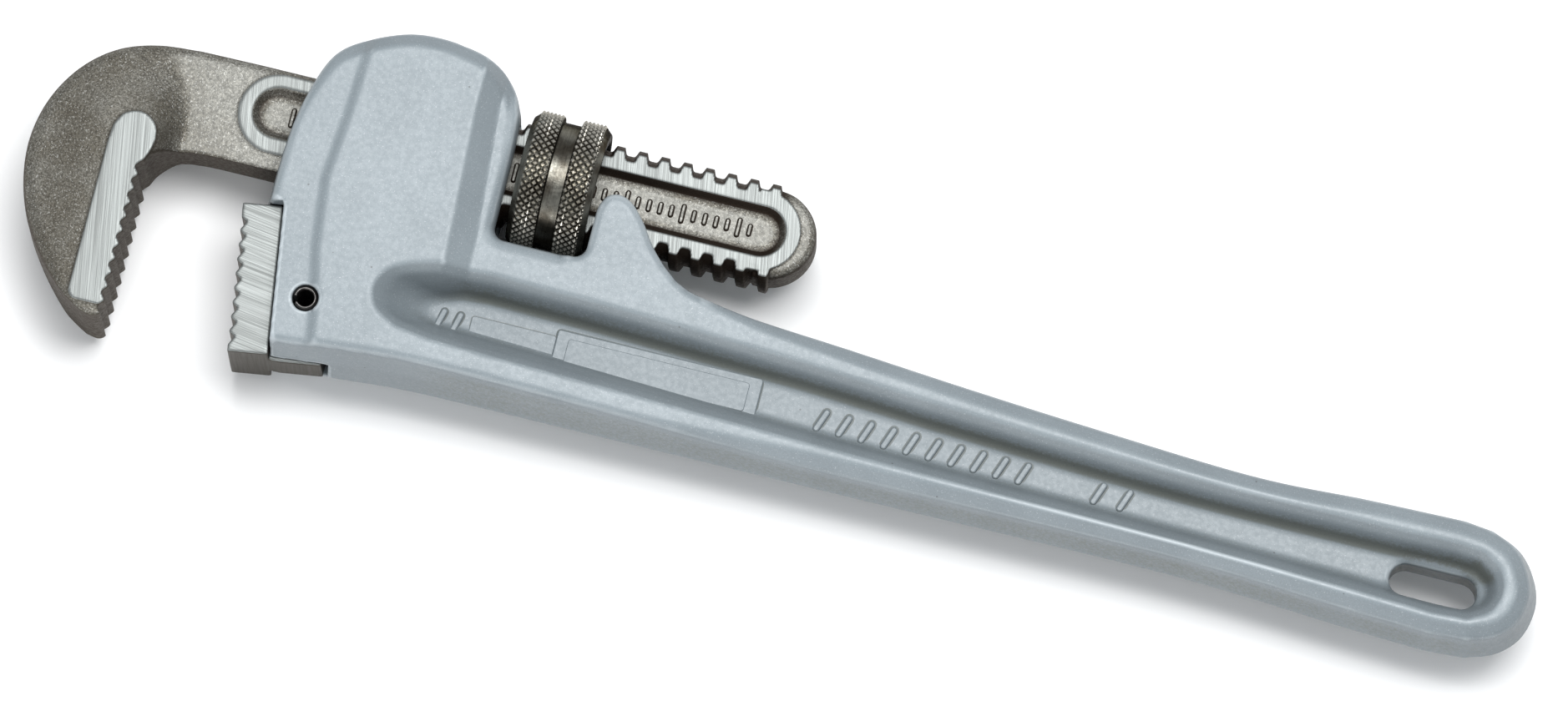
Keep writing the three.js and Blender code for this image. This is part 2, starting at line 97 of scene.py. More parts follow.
NUT_LEFT = -8.5
NUT_RIGHT = 8.8
NUT_RADIUS = 15.4
NUT_GROOVE = (-1.9, 2.1)
NUT_GROOVE_DEPTH = 1.15
KNURL_DEPTH = 0.42
KNURL_PITCH = 1.75
KNURL_COUNT = 54

HEEL_CORNER = (-56.9, -21.3)
HEEL_TILT = math.radians(8.6)
HEEL_WIDTH = 8.9
HEEL_HEIGHT = 33.7
HEEL_HALF = 11.4
TONGUE_HALF = 6.0
TONGUE_TOP = -31.0
TONGUE_RIGHT = -40.3

PIN_CENTRE = (-46.6, -41.0)
PIN_RADIUS = 2.7
PIN_BORE = 1.95
PIN_HALF = 15.8
PIN_HOLE = 2.95
SPRING_X = -51.0

FULL_TURN = 2 * math.pi

# The wrench frame's place in the row frame, from the nut, which is centred on the shank's axis.
nut_low, nut_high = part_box("adjusting_nut")
ORIGIN = np.array(
    [
        nut_low[0] - NUT_LEFT * MM,
        (nut_low[1] + nut_high[1]) / 2,
        (nut_low[2] + nut_high[2]) / 2,
    ]
)


def in_row_frame(points):
    """Points of the wrench frame, in millimetres, as metres in the row frame."""
    return np.asarray(points, float) * MM + ORIGIN


# -------- plan outlines


def curve(*points, steps=8):
    """A smooth open run through the points."""
    p = np.array(points, float)
    p = np.vstack([2 * p[0] - p[1], p, 2 * p[-1] - p[-2]])
    t = np.linspace(0, 1, steps, endpoint=False)[:, None]
    runs = []
    for a, b, c, d in zip(p, p[1:], p[2:], p[3:]):
        bend = 2 * a - 5 * b + 4 * c - d
        twist = 3 * b - a - 3 * c + d
        runs.append(b + 0.5 * t * ((c - a) + t * (bend + t * twist)))
    runs.append(p[-2:-1])
    return np.vstack(runs)


def arc(x, y, radius, start, end, steps=12):
    """A run along a circle, from one angle to another, in degrees."""
    angle = np.radians(np.linspace(start, end, steps + 1))
    return np.column_stack([x + radius * np.cos(angle), y + radius * np.sin(angle)])


def line(*points):
    return np.array(points, float)


def loop(*runs):
    return np.vstack(runs)


def plan_distance(x, y, outline):
    """Signed distance from each (x, y) to a closed outline, negative inside."""
    nearest = np.full(x.shape, np.inf)
    inside = np.zeros(x.shape, bool)
    for (ax, ay), (bx, by) in zip(outline, np.roll(outline, -1, axis=0)):
        ex, ey = bx - ax, by - ay
        length2 = ex * ex + ey * ey
        if length2 < 1e-12:
            continue
        t = np.clip(((x - ax) * ex + (y - ay) * ey) / length2, 0, 1)
        nearest = np.minimum(nearest, (x - ax - t * ex) ** 2 + (y - ay - t * ey) ** 2)
        if ay != by:
            inside ^= ((ay > y) != (by > y)) & (x < ex * (y - ay) / ey + ax)
    return np.where(inside, -1, 1) * np.sqrt(nearest)


# -------- fields


def fade(t):
    """0 below 0, 1 above 1, smooth in between."""
    t = np.clip(t, 0, 1)
    return t * t * (3 - 2 * t)


def ramp(t):
    """0 below 0, 1 above 1, straight in between."""
    return np.clip(t, 0, 1)


def meet(a, b, soft=0.0):
    """What is inside both fields, with the edge between them rounded over about soft."""
    if np.ndim(soft) == 0 and soft == 0:
        return np.maximum(a, b)
    h = np.clip(0.5 + 0.5 * (a - b) / soft, 0, 1)
    return b + (a - b) * h + soft * h * (1 - h)


def join(a, b, soft=0.0):
    """What is inside either field, with a fillet of about soft between them."""
    return -meet(-a, -b, soft)


def cut(a, b, soft=0.0):
    """The first field without the second."""
    return meet(a, -b, soft)


class Lattice:
    """A box of sample points with its own spacing along each axis."""

    def __init__(self, xs, ys, zs):
        self.xs, self.ys, self.zs = (np.asarray(v, float) for v in (xs, ys, zs))
        self.x, self.y = np.meshgrid(self.xs, self.ys, indexing="ij")
        self.x3 = self.x[:, :, None]
        self.y3 = self.y[:, :, None]
        self.z3 = self.zs[None, None, :]
        self.height = np.abs(self.z3)

    def under(self, level):
        """The field of everything no higher than level(x, y) above mid-thickness, on both sides."""
        along_x, along_y = np.gradient(level, self.xs, self.ys)
        slope = np.sqrt(1 + along_x**2 + along_y**2)
        return (self.height - level[:, :, None]) / slope[:, :, None]


def spaced(*stops):
    """Lattice lines: stops are start, spacing, stop, spacing, stop and so on."""
    lines = [np.array([stops[0]])]
    for i in range(1, len(stops), 2):
        start, spacing, end = stops[i - 1], stops[i], stops[i + 1]
        count = max(1, round((end - start) / spacing))
        lines.append(start + (end - start) * np.arange(1, count + 1) / count)
    return np.concatenate(lines)


def box_mean(values, reach, spacing):
    """The mean over a box of about reach each way, along every axis."""
    for axis in range(3):
        n = max(1, round(reach / spacing[axis]))
        padded = np.pad(values, [(n + 1, n) if a == axis else (0, 0) for a in range(3)], "edge")
        total = np.cumsum(padded, axis=axis, dtype=np.float32)
        upper = np.take(total, range(2 * n + 1, total.shape[axis]), axis=axis)
        lower = np.take(total, range(0, total.shape[axis] - 2 * n - 1), axis=axis)
        values = (upper - lower) / (2 * n + 1)
    return values


CORNERS = [(i, j, k) for i in (0, 1) for j in (0, 1) for k in (0, 1)]


def at_corner(samples, corner):
    """The samples at one corner of every cell of the lattice."""
    return samples[tuple(slice(c, c + n - 1) for c, n in zip(corner, samples.shape))]


def cell_vertices(field, axes, cell):
    """A vertex for each cell: the mean of the places where the surface crosses the cell's edges."""
    total = np.zeros((len(cell), 3))
    hits = np.zeros(len(cell))
    for axis in range(3):
        for corner in CORNERS:
            if corner[axis]:
                continue
            start = cell + np.array(corner)
            end = start.copy()
            end[:, axis] += 1
            a = field[tuple(start.T)].astype(float)
            b = field[tuple(end.T)].astype(float)
            crosses = (a < 0) != (b < 0)
            t = np.where(crosses, a / np.where(crosses, a - b, 1), 0)
            for i in range(3):
                low = axes[i][start[:, i]]
                high = axes[i][end[:, i]]
                total[:, i] += np.where(crosses, low + t * (high - low), 0)
            hits += crosses
    return total / hits[:, None]


def cell_quads(solid, number):
    """A quad for each lattice line that crosses the surface, between the vertices of the cells round it."""
    quads = []
    for axis in range(3):
        u, v = (axis + 1) % 3, (axis + 2) % 3
        here = [slice(None)] * 3
        there = [slice(None)] * 3
        here[axis] = slice(0, -1)
        there[axis] = slice(1, None)
        first, second = solid[tuple(here)], solid[tuple(there)]
        edge = np.argwhere(first != second)
        edge = edge[(edge[:, u] > 0) & (edge[:, v] > 0)]
        edge = edge[(edge[:, u] < solid.shape[u] - 1) & (edge[:, v] < solid.shape[v] - 1)]
        around = []
        for du, dv in ((1, 1), (0, 1), (0, 0), (1, 0)):
            place = edge.copy()
            place[:, u] -= du
            place[:, v] -= dv
            around.append(number[tuple(place.T)])
        faces = np.column_stack(around)
        outward = first[tuple(edge.T)]
        faces[~outward] = faces[~outward][:, ::-1]
        quads.append(faces)
    return np.vstack(quads)


def fullness(field, axes, cell, vertices, reach):
    """How much of the space within reach of each vertex is solid: 0.5 on a flat, more in a corner."""
    spacing = [float(np.median(np.diff(values))) for values in axes]
    filled = np.clip(0.5 - field / np.mean(spacing), 0, 1).astype(np.float32)
    mean = box_mean(filled, reach, spacing)
    low = np.column_stack([axes[i][cell[:, i]] for i in range(3)])
    size = np.column_stack([np.diff(axes[i])[cell[:, i]] for i in range(3)])
    share = (vertices - low) / size
    return sum(
        np.prod(np.where(corner, share, 1 - share), axis=1) * mean[tuple((cell + corner).T)]
        for corner in CORNERS
    )


def surface_of(field, lattice, reach=2.2):
    """Vertices, quads, and two measures for the materials: hollow, within reach, and edge, close by."""
    axes = (lattice.xs, lattice.ys, lattice.zs)
    solid = field < 0
    count = sum(at_corner(solid, corner).astype(np.uint8) for corner in CORNERS)
    cell = np.argwhere((count > 0) & (count < len(CORNERS)))
    number = np.full(count.shape, -1, np.int64)
    number[tuple(cell.T)] = np.arange(len(cell))
    vertices = cell_vertices(field, axes, cell)
    measures = {
        "hollow": fullness(field, axes, cell, vertices, reach),
        "edge": fullness(field, axes, cell, vertices, 1.0),
    }
    return vertices, cell_quads(solid, number), measures


# -------- meshes


def mesh_object(name, vertices, faces, material):
    """A mesh object from points of the wrench frame."""
    mesh = bpy.data.meshes.new(name)
    mesh.from_pydata(in_row_frame(vertices).tolist(), [], [list(f) for f in faces])
    mesh.validate()
    mesh.update()
    mesh.polygons.foreach_set("use_smooth", [True] * len(mesh.polygons))
    mesh.materials.append(material)
    piece = bpy.data.objects.new(name, mesh)
    bpy.context.scene.collection.objects.link(piece)
    return piece


def note(piece, measures):
    """Stores numbers on the vertices, for the materials to read."""
    for name, values in measures.items():
        attribute = piece.data.attributes.new(name, "FLOAT", "POINT")
        attribute.data.foreach_set("value", np.asarray(values, np.float32))


def solid_piece(name, field, lattice, material, reach=2.2):
    vertices, quads, measures = surface_of(field, lattice, reach)
    piece = mesh_object(name, vertices, quads, material)
    note(piece, measures)
    return piece


def swept_ring(name, rows, material):
    """A closed ring of closed sections: rows[i][j] is point j of section i."""
    rows = np.asarray(rows, float)
    sections, points = rows.shape[:2]
    i, j = np.meshgrid(np.arange(sections), np.arange(points), indexing="ij")
    ni, nj = (i + 1) % sections, (j + 1) % points
    quads = np.stack([i * points + j, ni * points + j, ni * points + nj, i * points + nj], -1)
    return mesh_object(name, rows.reshape(-1, 3), quads.reshape(-1, 4), material)


# -------- handle and housing


def housing_outline():
    """The casting's outline at its parting line, clockwise from the foot of the front."""
    front = curve(
        (-61.3, -24), (-61.4, -14), (-60.9, -4), (-59.4, 4.5), (-56.6, 13),
        (-53, 17.7), (-47.5, 21.1), (-40, 24.1), (-33, 25), (-26, 24.3), (-19, 21.4), (-14, 17),
        (-11.3, 11.6), (-10.6, 5),
    )
    window = loop(
        line((-10.5, 0)),
        arc(-7.9, -14.1, 2.6, 180, 270),
        arc(7.5, -14.1, 2.6, 270, 360),
        line((10.1, -6)),
    )
    horn = curve(
        (10.3, -4.2), (11.8, -1.6), (14.6, -0.7), (17.8, -2), (21.2, -5.6), (24.6, -10.4), (28, -14),
    )
    top = curve(
        (31.5, -16), (38, -17.6), (50, -19.4), (70, -20.7), (100, -22.9), (130, -24.7), (165, -26.3),
        (190, -25.4), (212, -24.9),
    )
    end = curve(
        (219, -25.6), (225.6, -28.4), (230, -34), (231.6, -40), (230, -47), (225.4, -51.8),
        (219, -54.3),
    )
    bottom = curve(
        (210, -54.9), (190, -54), (165, -52.5), (140, -51.9), (90, -52.2), (20, -52.5), (-18, -52.7),
        (-34, -53.7), (-49, -55.1),
    )
    return loop(front, window, horn, top, end, bottom, line((-60.5, -56.2)))


def hollow_outline():
    """Where the flat of the two flanges ends and falls to the web."""
    left = curve((-26, -42.6), (-31, -39.6), (-32.9, -35.2), (-31.2, -30.9), (-27, -28.2), (-20, -26.1))
    top = curve(
        (-8, -25.3), (20, -25.9), (60, -27.5), (100, -29.8), (150, -31.9), (190, -32.1), (212, -31.8),
    )
    end = curve((218, -32.3), (222.6, -35.6), (224.2, -40.3), (222.4, -45.2), (217.6, -48.3))
    bottom = curve(
        (210, -48.7), (190, -47.9), (150, -46.9), (100, -45.9), (60, -45), (0, -44.1), (-18, -43.7),
    )
    return loop(left, top, end, bottom)


def crease_x(y):
    """Where the step down to the head's front crosses each y."""
    ys = [-52.0, -44.6, -29.2, -13.8, 1.7, 17.7, 26.0]
    xs = [-42.0, -43.1, -46.4, -48.2, -46.9, -46.2, -45.8]
    return np.interp(y, ys, xs)


def channel_floor(x):
    """The bottom of the shank's channel, which is deeper on the left, where the springs lie."""
    return np.interp(x, [-40.001, -40.0, -10.5], [-19.2, -17.1, -14.0])


def to_heel_frame(x, y):
    """(across towards the hook, down along the jaw) from the heel jaw's upper back corner."""
    dx, dy = x - HEEL_CORNER[0], y - HEEL_CORNER[1]
    c, s = math.cos(HEEL_TILT), math.sin(HEEL_TILT)
    return -(dx * c + dy * s), dx * s - dy * c


def housing_level(x, y):
    """Height of the casting's flats above mid-thickness."""
    slope_start = np.interp(y, [-26, 9], [-19.2, -21])
    slope_end = np.interp(y, [-20, 12], [-13.4, -16])
    past_slope = ramp((x - slope_start) / (slope_end - slope_start))
    upper = HEAD_HALF - (HEAD_HALF - RIM_HALF) * past_slope
    upper -= (RIM_HALF - GRIP_HALF) * fade((x - 20) / 60)
    lower = HEAD_HALF - (HEAD_HALF - GRIP_HALF) * fade((x + 30) / 110)
    between_flanges = -36
    front_step, step_width = 0.9, 1.8
    level = np.where(y > between_flanges, upper, lower)
    return level - front_step * ramp((crease_x(y) - x) / step_width)


def casting_skin(lat, level):
    """The casting's outside: drafted sides, flats, and a chamfer that is broad on head and grip."""
    x, y = lat.x, lat.y
    shank_side = ramp((y + 22) / 4)
    upright = ramp((x + 27) / 10) * ramp((34 - x) / 6) * shank_side
    draft = (0.02 + 0.1 * (1 - upright) + 0.1 * fade((-20 - y) / 15))[:, :, None]
    side = plan_distance(x, y, housing_outline())[:, :, None] + draft * lat.height
    above = lat.height - level[:, :, None]

    crown = ramp((x + 58) / 8) * ramp((y + 5) / 10) * (x < -10)
    window = ramp((x + 14) / 2) * ramp((7 - x) / 2) * shank_side
    grip = fade((x - 25) / 50)
    wide = (1.0 + 1.6 * grip + 1.8 * crown * (1 - window) + 0.4 * window)[:, :, None]
    deep = 0.8 * wide
    chamfer = (side * deep + above * wide + wide * deep) / np.hypot(wide, deep)
    rounding = (0.4 + 1.3 * window)[:, :, None]
    return meet(meet(side, lat.under(level), 0.4), chamfer, rounding)


def grip_recess(lat, level):
    """The hollow between the flanges: a sloping lip, leaning walls, and a left end that climbs out."""
    height = lat.height
    rim = plan_distance(lat.x, lat.y, hollow_outline())[:, :, None]
    drop = level[:, :, None] - height
    lip_drop, lean = 1.9, 0.42
    lip = meet((rim + drop) / math.sqrt(2), WEB_HALF + 2 - height)
    wall = (rim + lip_drop + lean * (drop - lip_drop)) / math.hypot(1, lean)
    climb_start, climb = -21, 0.9
    scoop = (WEB_HALF + climb * (climb_start - lat.x3) - height) / math.hypot(1, climb)
    pit = meet(meet(wall, WEB_HALF - height, 1.8), scoop, 3)
    return join(lip, pit, 0.4)


def housing_field(lat):
    """The casting: skin and recess, less the places of heel jaw, shank, tongue, pin and coil spring."""
    x3, y3, height = lat.x3, lat.y3, lat.height
    level = housing_level(lat.x, lat.y)
    body = cut(casting_skin(lat, level), grip_recess(lat, level), 0.5)

    slot = np.hypot(x3 - np.clip(x3, *SLOT_ENDS), y3 - SLOT_LINE) - SLOT_RADIUS
    body = cut(body, slot, 0.9)

    across, down = to_heel_frame(x3, y3)
    seat = meet(-(across + GAP), -(down + GAP))
    body = cut(body, seat, 0.25)

    channel_right = 40
    channel = meet(height - SHANK_HALF - CHANNEL_PLAY, meet(channel_floor(x3) - y3, y3 - CHANNEL_TOP))
    body = cut(body, meet(channel, x3 - channel_right), 0.5)
    beyond_tongue = 1.4
    way = meet(x3 - TONGUE_RIGHT - beyond_tongue, y3 - TONGUE_TOP - GAP)
    body = cut(body, meet(height - TONGUE_HALF - GAP, way, 0.4), 0.3)
    pin = np.hypot(x3 - PIN_CENTRE[0], y3 - PIN_CENTRE[1]) - PIN_HOLE
    body = cut(body, pin, 0.3)
    pocket_radius, pocket_top, pocket_floor = 3.6, -17, -27
    pocket = np.hypot(x3 - SPRING_X, lat.z3) - pocket_radius
    return cut(body, meet(pocket, meet(y3 - pocket_top, pocket_floor - y3)))


def make_housing(material):
    lat = Lattice(
        spaced(-63, 0.5, 38, 2.0, 192, 0.7, 233),
        spaced(-57.6, 0.5, 27.6),
        spaced(-17.5, 0.5, 17.5),
    )
    piece = solid_piece("handle_casting", housing_field(lat), lat, material, reach=3)
    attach(piece, "housing")
    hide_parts("handle_housing")


# -------- hook jaw


def hook_outline():
    """The forging's outline, from the arm over the back to the tip, and back through the throat."""
    top = line((-40, 10), (-70, 10))
    back = curve(
        (-84, 9.8), (-93, 8.8), (-101.5, 5.4), (-108.6, -0.8), (-113.4, -9), (-115.5, -18.5),
        (-114.6, -28), (-111.3, -37.2), (-106.1, -45), (-100.4, -51.1), (-96.6, -53.8),
    )
    tip = curve((-94, -55.2), (-91.2, -55.6), (-89.3, -54.4))
    throat = curve(
        (-89.3, -19.6), (-88, -17.2), (-85.6, -15.3), (-82, -13.9), (-77, -13.3),
        (-70, -13.2), (-60, -13.2), (-50, -13.2),
    )
    return loop(top, back, tip, throat, line((-44, -10.4), (-40, -10.4)))


def boss_outline():
    """The ground face over the teeth."""
    return loop(
        line((TOOTH_LINE, -53.2), (TOOTH_LINE, -19.6)),
        curve(
            (-88.3, -17.2), (-87.7, -14), (-88.4, -11), (-90.4, -9.1), (-93, -8.5), (-96, -9.8),
            (-97.8, -12.8),
        ),
        line((-98, -17)),
        arc(-95.8, -51, 2.2, 180, 270, 6),
    )


def from_thread_crest(along):
    """Distance along the axis to the middle of the nearest crest."""
    return np.abs((along + THREAD_PITCH / 2) % THREAD_PITCH - THREAD_PITCH / 2)


def thread_field(lat):
    """A single right-hand thread about the X axis."""
    angle = np.arctan2(lat.z3, lat.y3)
    radius = np.hypot(lat.z3, lat.y3)
    from_crest = from_thread_crest(lat.x3 - THREAD_PHASE - THREAD_PITCH * angle / FULL_TURN)
    flank = (THREAD_PITCH - CREST_WIDTH - ROOT_WIDTH) / 2
    fall = np.clip((from_crest - CREST_WIDTH / 2) / flank, 0, 1)
    return (radius - CREST_RADIUS + (CREST_RADIUS - ROOT_RADIUS) * fall) * 0.8


def forged_level(x, y):
    """Height of the forging's sides: full round the teeth, and falling away from them to the shank."""
    from_boss = np.clip(plan_distance(x, y, boss_outline()), 0, None)
    around = np.arctan2(np.clip(y + 13, 0, None), x + 93) / math.pi
    near = np.clip(1 - from_boss / (5.5 + 64 * around**2), 0, 1)
    near = np.maximum(near, ramp((-47 - y) / 5))
    back_fall = 2.2 * fade((-98 - x) / 20)
    return FORGED_HALF + (RELIEF_HALF - back_fall - FORGED_HALF) * (fade(near) + near**2) / 2


def hook_body(lat):
    """The forged hook with the ground boss along its teeth."""
    x, y = lat.x, lat.y
    outline = plan_distance(x, y, hook_outline())[:, :, None]
    outside = fade((-91 - x) / 5)
    above_tip = fade((y + 53) / 8)
    rounding = 0.5 + 2.7 * np.maximum(outside, fade((y + 8) / 6)) * above_tip
    body = meet(outline, lat.under(forged_level(x, y)), rounding[:, :, None])
    boss = plan_distance(x, y, boss_outline())[:, :, None]
    return join(body, meet(boss, lat.height - BOSS_HALF, 0.3), 0.25)


def threaded_shank(lat):
    """The threaded shank with its forged nose and ground face, and the face's other end on the arm."""
    x3, y3, height = lat.x3, lat.y3, lat.height
    on_face = height - SHANK_HALF
    thread = meet(thread_field(lat), meet(x3 - THREAD_END, THREAD_START - x3))
    nose_left, nose_centre, nose_stretch = 46.6, 47.4, 0.93
    nose_plan = np.hypot(np.clip(x3 - nose_centre, 0, None) * nose_stretch, y3) - ROOT_RADIUS
    nose_round = np.hypot(y3, lat.z3) - ROOT_RADIUS - 0.9
    nose = meet(meet(nose_plan, nose_round, 0.8), height - FORGED_HALF, 2.4)
    nose = meet(nose, nose_left - x3)
    right_centre = 45.8
    right_face = np.hypot(np.clip(x3 - right_centre, 0, None), y3) - FACE_RADIUS
    right_face = meet(meet(right_face, 44 - x3), on_face, 0.2)
    left_face = np.hypot(x3 - np.clip(x3, -63.5, -40), y3 + 0.5) - FACE_RADIUS
    left_face = meet(meet(left_face, x3 + 40), on_face, 0.2)
    shank = join(meet(thread, on_face, 0.15), nose, 0.2)
    return join(shank, right_face, 0.15), left_face


def hook_field(lat):
    """The whole hook jaw, with the panel in each side of its shank and its teeth."""
    x3, y3, height = lat.x3, lat.y3, lat.height
    shank, left_face = threaded_shank(lat)
    body = join(join(hook_body(lat), left_face, 0.2), shank, 0.2)

    panel_left, panel_right, lean = -63.7, 46.1, 0.62
    from_panel = np.hypot(x3 - np.clip(x3, panel_left, panel_right), y3 + 0.2) - PANEL_RADIUS
    wall = (from_panel + lean * (SHANK_HALF - height)) / math.hypot(1, lean)
    body = cut(body, meet(wall, PANEL_FLOOR - height, 0.6), 0.25)

    first_tooth = -20.9
    tooth = np.abs(((first_tooth - y3) / TOOTH_PITCH + 0.5) % 1 - 0.5) * 2
    notch = (x3 - TOOTH_LINE + TOOTH_DEPTH * (1 - tooth)) * 0.75
    notch = np.where((y3 < -19.3) & (x3 > -94), notch, -10)
    return meet(body, notch, 0.15)


def make_hook(material):
    """The forging in two solids that meet inside the housing, where the jaw never shows the joint."""
    joint = -20.0
    hook = Lattice(
        spaced(-117.2, 0.42, joint + 1.26),
        spaced(-58.1, TOOTH_PITCH / 8, 13.4),
        spaced(-14.1, 0.43, 14.1),
    )
    shank = Lattice(
        spaced(joint - 1, THREAD_PITCH / 17, 60.2),
        spaced(-12.8, 0.3, 12.8),
        spaced(-7.6, 0.32, 7.6),
    )
    parts = (("hook_jaw_forging", hook, hook.x3 - joint), ("hook_jaw_shank", shank, joint - shank.x3))
    for name, lat, end in parts:
        piece = solid_piece(name, meet(hook_field(lat), end), lat, material)
        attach(piece, "hook")
        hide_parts("hook_jaw")


# -------- heel jaw


def from_heel_frame(x, y):
    """Places measured square to the heel block, from its upper back corner, in the wrench frame."""
    c, s = math.cos(HEEL_TILT), math.sin(HEEL_TILT)
    return HEEL_CORNER[0] + x * c - y * s, HEEL_CORNER[1] + x * s + y * c


def heel_field(lat):
    """The toothed block with its tongue, on a lattice that is square to the block."""
    x3, y3 = lat.x3, lat.y3
    block = meet(meet(-HEEL_WIDTH - x3, x3), meet(-HEEL_HEIGHT - y3, y3), 0.25)
    block = meet(block, lat.height - HEEL_HALF, 0.25)
    first_root, long_flank, short_flank = -4.3, 0.55, 0.3
    past_root = ((first_root - y3) / TOOTH_PITCH) % 1
    depth = np.maximum(1 - past_root / long_flank, (past_root - 1 + short_flank) / short_flank)
    groove = (-HEEL_WIDTH + (TOOTH_DEPTH - 0.2) * np.maximum(depth, 0) - x3) * 0.75
    groove = np.where((y3 < -2.7) & (y3 > -HEEL_HEIGHT + 1.6) & (x3 < -5), groove, -10)
    block = meet(block, groove, 0.15)

    x, y = from_heel_frame(x3, y3)
    tongue_bottom, inside_block = -54.6, -2
    tongue = meet(meet(x - TONGUE_RIGHT, tongue_bottom - y), meet(y - TONGUE_TOP, inside_block - x3))
    tongue = meet(meet(tongue, -HEEL_HEIGHT - y3 - GAP), lat.height - TONGUE_HALF, 0.3)
    hole = np.hypot(x - PIN_CENTRE[0], y - PIN_CENTRE[1]) - PIN_HOLE
    return cut(join(block, tongue), hole, 0.2)


def make_heel(material):
    """The block is sampled square to its own sides, then turned into place."""
    step = TOOTH_PITCH / 10
    lat = Lattice(
        spaced(-10.1, step, 22),
        spaced(-37, step, 2),
        spaced(-12.3, 0.35, 12.3),
    )
    vertices, quads, measures = surface_of(heel_field(lat), lat, reach=1.5)
    x, y = from_heel_frame(vertices[:, 0], vertices[:, 1])
    piece = mesh_object("heel_jaw_block", np.column_stack([x, y, vertices[:, 2]]), quads, material)
    note(piece, measures)
    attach(piece, "housing")
    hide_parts("heel_jaw")


# -------- nut


def knurl(x, angle):
    """Height from 0 to 1 of a diamond knurl: pyramids between two crossing families of grooves."""
    turned = angle * KNURL_COUNT / FULL_TURN
    ridge_u = 1 - 2 * np.abs((x / KNURL_PITCH + turned) % 1 - 0.5)
    ridge_v = 1 - 2 * np.abs((x / KNURL_PITCH - turned) % 1 - 0.5)
    return 2 * np.minimum(1 - ridge_u, 1 - ridge_v)


def nut_stations():
    """Places along the nut's outside, closer together at its ends and at the groove's edges."""
    at_end = np.array([0, 0.05, 0.3, 0.6, 0.9, 1.2])
    at_groove = np.array([-0.3, -0.2, -0.05, 0.1, 0.4])
    spacing, left, right = 0.14, *NUT_GROOVE
    return np.concatenate(
        [
            NUT_LEFT + at_end,
            np.arange(NUT_LEFT + 1.25, left - 0.35, spacing),
            left + at_groove,
            right - at_groove[::-1],
            np.arange(right + 0.35, NUT_RIGHT - 1.3, spacing),
            NUT_RIGHT - at_end[::-1],
        ]
    )


def nut_outside(angle):
    """x, radius and knurl crest (0 to 1) of each point of the nut's outside, one row for each angle."""
    x = nut_stations()
    from_end = np.minimum(x - NUT_LEFT, NUT_RIGHT - x)
    chamfer, steepness, edge = 1.5, 0.9, 0.25
    left, right = NUT_GROOVE
    in_groove = fade((x - left + 0.2) / edge) * fade((right + 0.2 - x) / edge)
    base = NUT_RADIUS - steepness * np.clip(chamfer - from_end, 0, None) - NUT_GROOVE_DEPTH * in_groove
    knurled = fade((from_end - 1.1) / edge) * (1 - in_groove)
    depth = KNURL_DEPTH * (1 - knurl(x[None, :], angle[:, None])) * knurled[None, :]
    plain = 0.3
    crest = np.where(knurled[None, :] > 0.5, 1 - depth / KNURL_DEPTH, plain)
    radius = base[None, :] - depth
    return np.broadcast_to(x, radius.shape), radius, crest


def nut_inside(angle):
    """x and radius of each point of the nut's thread, one row for each angle, from right to left."""
    x = np.linspace(NUT_RIGHT, NUT_LEFT, 100)
    advance = THREAD_PHASE + THREAD_PITCH * angle[:, None] / FULL_TURN
    from_crest = from_thread_crest(x[None, :] - advance)
    crest_width = CREST_WIDTH + THREAD_CLEARANCE
    flank = (THREAD_PITCH - crest_width - ROOT_WIDTH + THREAD_CLEARANCE) / 2
    fall = np.clip((from_crest - crest_width / 2) / flank, 0, 1)
    radius = CREST_RADIUS + THREAD_CLEARANCE - (CREST_RADIUS - ROOT_RADIUS) * fall
    mouth_depth, mouth_slope = 1.2, 1.3
    mouth = np.clip(mouth_depth - np.minimum(x - NUT_LEFT, NUT_RIGHT - x), 0, None)
    radius = np.maximum(radius, ROOT_RADIUS + THREAD_CLEARANCE + mouth_slope * mouth[None, :])
    return np.broadcast_to(x, radius.shape), radius


def make_nut(material):
    turns = KNURL_COUNT * 12
    angle = np.arange(turns) * FULL_TURN / turns
    outer_x, outer_radius, crest = nut_outside(angle)
    inner_x, inner_radius = nut_inside(angle)
    x = np.concatenate([outer_x, inner_x], axis=1)
    radius = np.concatenate([outer_radius, inner_radius], axis=1)
    crest = np.concatenate([crest, np.zeros(inner_radius.shape)], axis=1)
    rows = np.stack([x, radius * np.cos(angle)[:, None], radius * np.sin(angle)[:, None]], -1)
    piece = swept_ring("knurled_nut", rows[:, ::-1], material)
    note(piece, {"crest": crest[:, ::-1].ravel()})
    flat_edges(piece, 40)
    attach(piece, "nut")
    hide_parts("adjusting_nut")


def flat_edges(piece, degrees):
    """Marks edges sharper than that as creases in the shading."""
    mesh = piece.data
    work = bmesh.new()
    work.from_mesh(mesh)
    limit = math.radians(degrees)
    for edge in work.edges:
        edge.smooth = not (len(edge.link_faces) == 2 and edge.calc_face_angle(0) > limit)
    work.to_mesh(mesh)
    work.free()


# -------- pin and springs


def recalculate(piece):
    """Turns every face outwards."""
    work = bmesh.new()
    work.from_mesh(piece.data)
    bmesh.ops.recalc_face_normals(work, faces=work.faces)
    work.to_mesh(piece.data)
    work.free()


def swept_run(name, rows, material):
    """An open run of closed sections with capped ends: rows[i][j] is point j of section i."""
    rows = np.asarray(rows, float)
    sections, points = rows.shape[:2]
    faces = []
    for a in range(0, (sections - 1) * points, points):
        for j in range(points):
            k = (j + 1) % points
            faces.append([a + j, a + points + j, a + points + k, a + k])
    faces.append(list(range(points)))
    faces.append([(sections - 1) * points + j for j in range(points)][::-1])
    return mesh_object(name, rows.reshape(-1, 3), faces, material)


